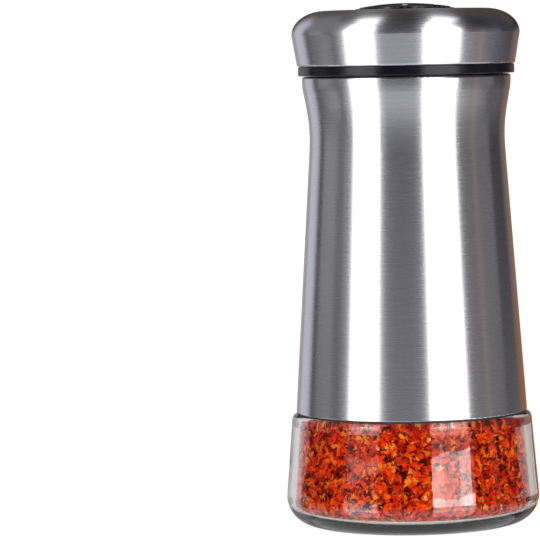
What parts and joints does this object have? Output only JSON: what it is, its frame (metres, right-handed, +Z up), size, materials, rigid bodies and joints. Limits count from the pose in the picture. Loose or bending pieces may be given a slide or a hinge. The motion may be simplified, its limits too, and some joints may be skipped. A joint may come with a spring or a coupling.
{
  "type": "spice shaker dispenser",
  "caption": "Waisted glass spice jar in a brushed steel sleeve, with a screw cap and a turning dial that opens different pouring holes.",
  "frame": {"origin": "middle of the ring that the jar stands on", "axes": "+Z up along the jar's axis, -Y towards the viewer, where the dial's number 0 is at rest"},
  "size_m": [0.06, 0.06, 0.1232],
  "materials": {
    "glass": "clear pressed glass",
    "sleeve_steel": "brushed round the axis",
    "cap_steel": "brushed round the axis",
    "ring_rubber": "matt black",
    "black_plastic": "moulded satin black",
    "gloss_black_plastic": "moulded gloss black",
    "silicone": "milky silicone",
    "stainless": "bright stainless",
    "chilli": "dry crushed flakes"
  },
  "bodies": {
    "jar": {"glass_jar": "glass", "steel_sleeve": "sleeve_steel", "sleeve_foot_ring": "ring_rubber", "neck_ring": "black_plastic", "chilli_flakes": "chilli"},
    "gasket": {"rim_gasket": "silicone"},
    "cap": {"cap_shell": "cap_steel", "cap_liner": "black_plastic", "pour_plate": "black_plastic"},
    "dial": {"dial": "gloss_black_plastic", "spring_washer": "stainless", "dial_screw": "stainless"}
  },
  "joints": [
    {"name": "cap_rise", "type": "slide", "parent": "jar", "child": "gasket", "axis": [0, 0, 1], "range_m": [0, 0.012]},
    {"name": "cap_twist", "type": "hinge", "parent": "gasket", "child": "cap", "pos_m": [0, 0, 0.11], "axis": [0, 0, 1], "range_deg": [0, 360]},
    {"name": "dial_turn", "type": "hinge", "parent": "cap", "child": "dial", "pos_m": [0, 0, 0.12], "axis": [0, 0, 1], "continuous": true}
  ],
  "couplings": [
    {"joint": "cap_rise", "follows": "cap_twist", "m_per_rad": 0.0019099}
  ]
}
